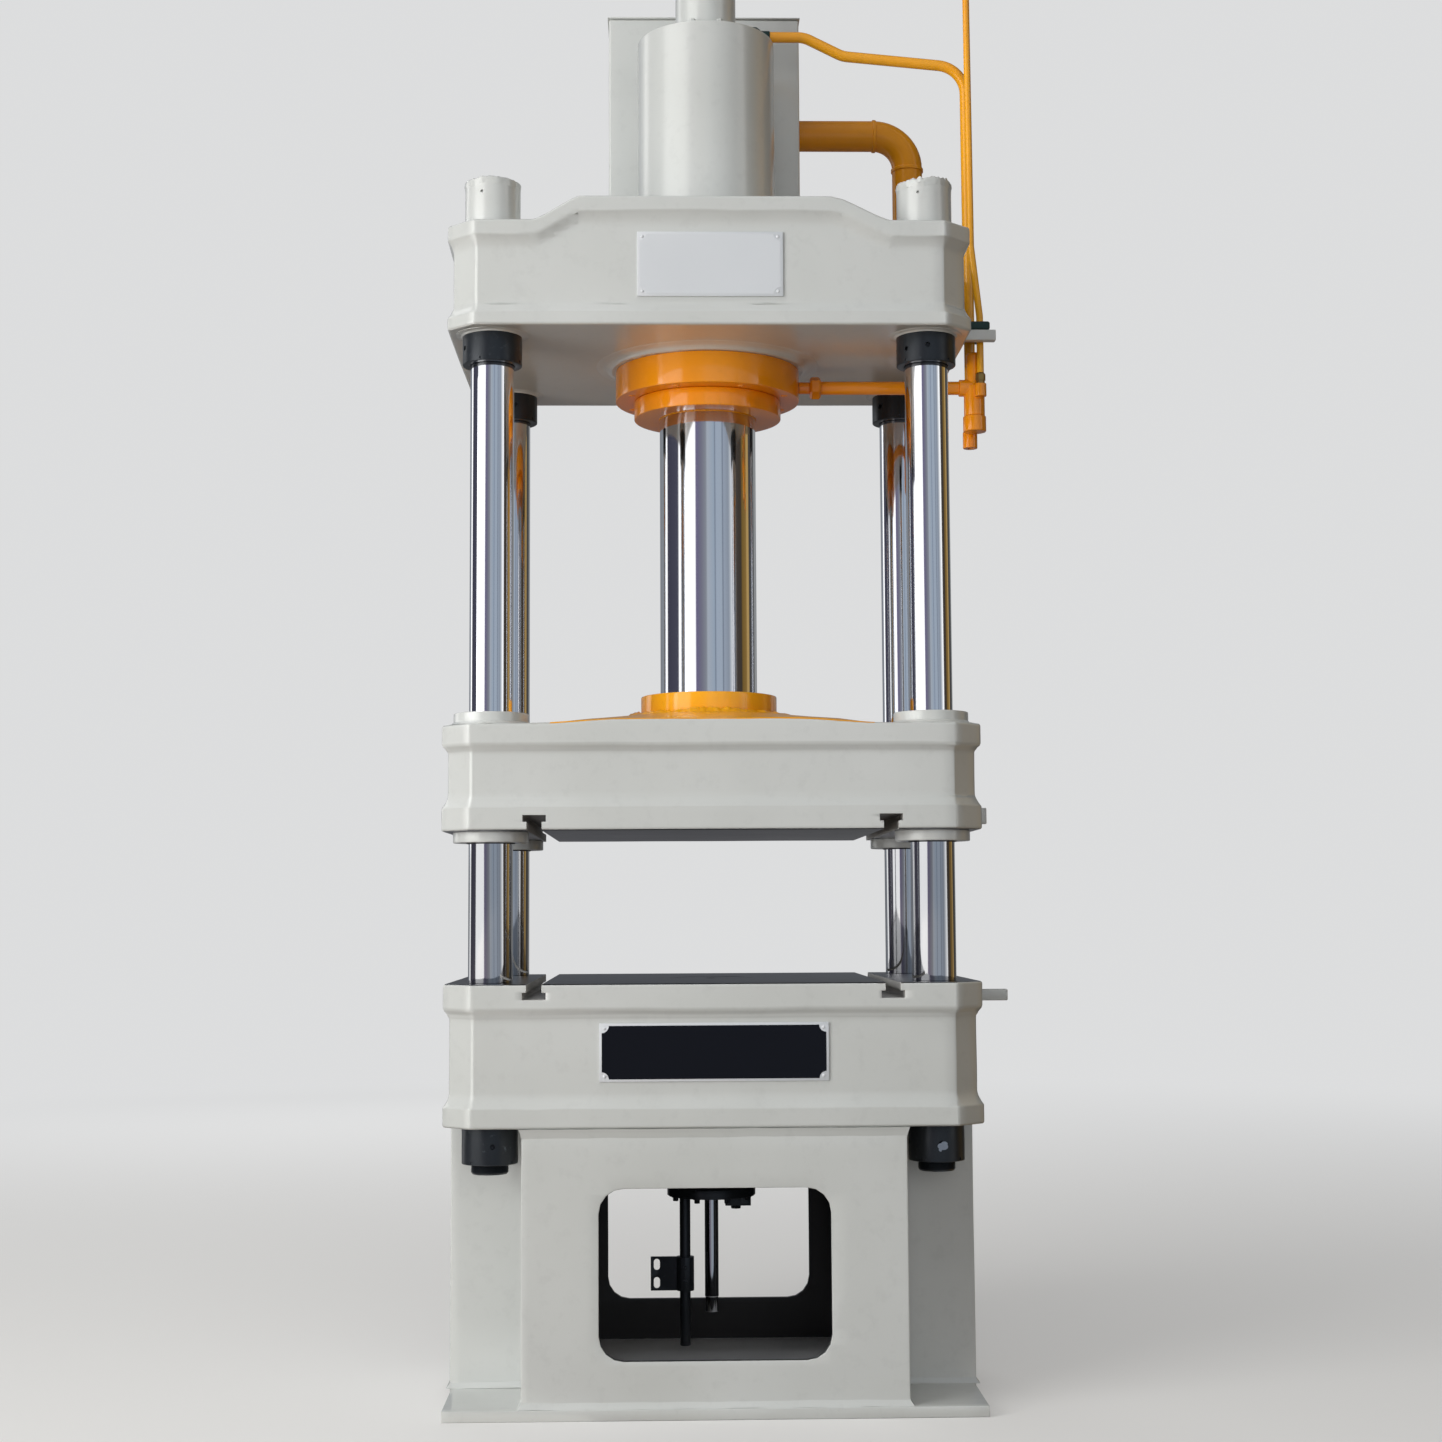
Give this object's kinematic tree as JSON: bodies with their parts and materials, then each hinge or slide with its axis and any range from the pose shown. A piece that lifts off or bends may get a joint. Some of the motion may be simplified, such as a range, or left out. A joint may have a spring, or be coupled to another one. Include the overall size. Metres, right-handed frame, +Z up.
{
  "type": "hydraulic press",
  "caption": "Four-column hydraulic press with a slotted table on a welded pedestal, a crosshead on the columns, a cylinder in the crown and an ejector under the table.",
  "frame": {"origin": "underside of the pedestal's base plate, on the ram's axis", "axes": "+X to the right seen from the front, +Y towards the back, where the oil tank stands, +Z up along the columns"},
  "size_m": [1.0858, 0.7803, 2.8868],
  "materials": {
    "casting_paint": "glossy light grey-cream paint over hand-smoothed filler",
    "orange_paint": "glossy orange-yellow brushed paint",
    "chrome": "hard-chromed and polished",
    "machined_steel": "bare machined steel",
    "black_steel": "satin black oxide",
    "bronze": "dull brass",
    "green_steel": "dark green, satin",
    "silver_plate": "satin",
    "dark_plate": "glossy black"
  },
  "bodies": {
    "frame": {"pedestal": "casting_paint", "bed": "casting_paint", "crown": "casting_paint", "cylinder": "casting_paint", "cylinder_nut": "casting_paint", "oil_tank": "casting_paint", "tank_lid": "casting_paint", "filling_valve": "casting_paint", "crown_limit_bar": "casting_paint", "bed_limit_bar": "casting_paint", "top_nut_front_left": "casting_paint", "bed_nut_front_left": "black_steel", "crown_nut_front_left": "black_steel", "column_front_left": "chrome", "top_nut_front_right": "casting_paint", "bed_nut_front_right": "black_steel", "crown_nut_front_right": "black_steel", "column_front_right": "chrome", "top_nut_back_left": "casting_paint", "bed_nut_back_left": "black_steel", "crown_nut_back_left": "black_steel", "column_back_left": "chrome", "top_nut_back_right": "casting_paint", "bed_nut_back_right": "black_steel", "crown_nut_back_right": "black_steel", "column_back_right": "chrome", "gland": "orange_paint", "return_pipe": "orange_paint", "pressure_pipe": "orange_paint", "pressure_pipe_nut": "orange_paint", "pilot_pipe": "orange_paint", "rod_side_union": "orange_paint", "rod_side_pipe": "orange_paint", "check_valve": "orange_paint", "check_valve_cap": "orange_paint", "ejector_cylinder": "black_steel", "ejector_cover": "black_steel", "ejector_limit_rod": "black_steel", "ejector_limit_bracket": "black_steel", "pilot_nut": "bronze", "pressure_fitting": "green_steel", "pipe_clamp": "green_steel", "crown_plate": "silver_plate", "bed_plate": "dark_plate"},
    "crosshead": {"slide": "casting_paint", "ram": "chrome", "ram_ring": "orange_paint", "piston": "machined_steel", "slide_striker": "casting_paint", "guide_bush_front_left": "casting_paint", "guide_bush_front_right": "casting_paint", "guide_bush_back_left": "casting_paint", "guide_bush_back_right": "casting_paint", "slide_collar_front_left": "casting_paint", "slide_collar_front_right": "casting_paint", "slide_collar_back_left": "casting_paint", "slide_collar_back_right": "casting_paint"},
    "ejector": {"ejector_ram": "chrome", "ejector_pad": "machined_steel"}
  },
  "joints": [
    {"name": "ram_stroke", "type": "slide", "parent": "frame", "child": "crosshead", "axis": [0, 0, 1], "range_m": [-0.15, 0.45]},
    {"name": "ejector_stroke", "type": "slide", "parent": "frame", "child": "ejector", "axis": [0, 0, 1], "range_m": [0, 0.12]}
  ]
}
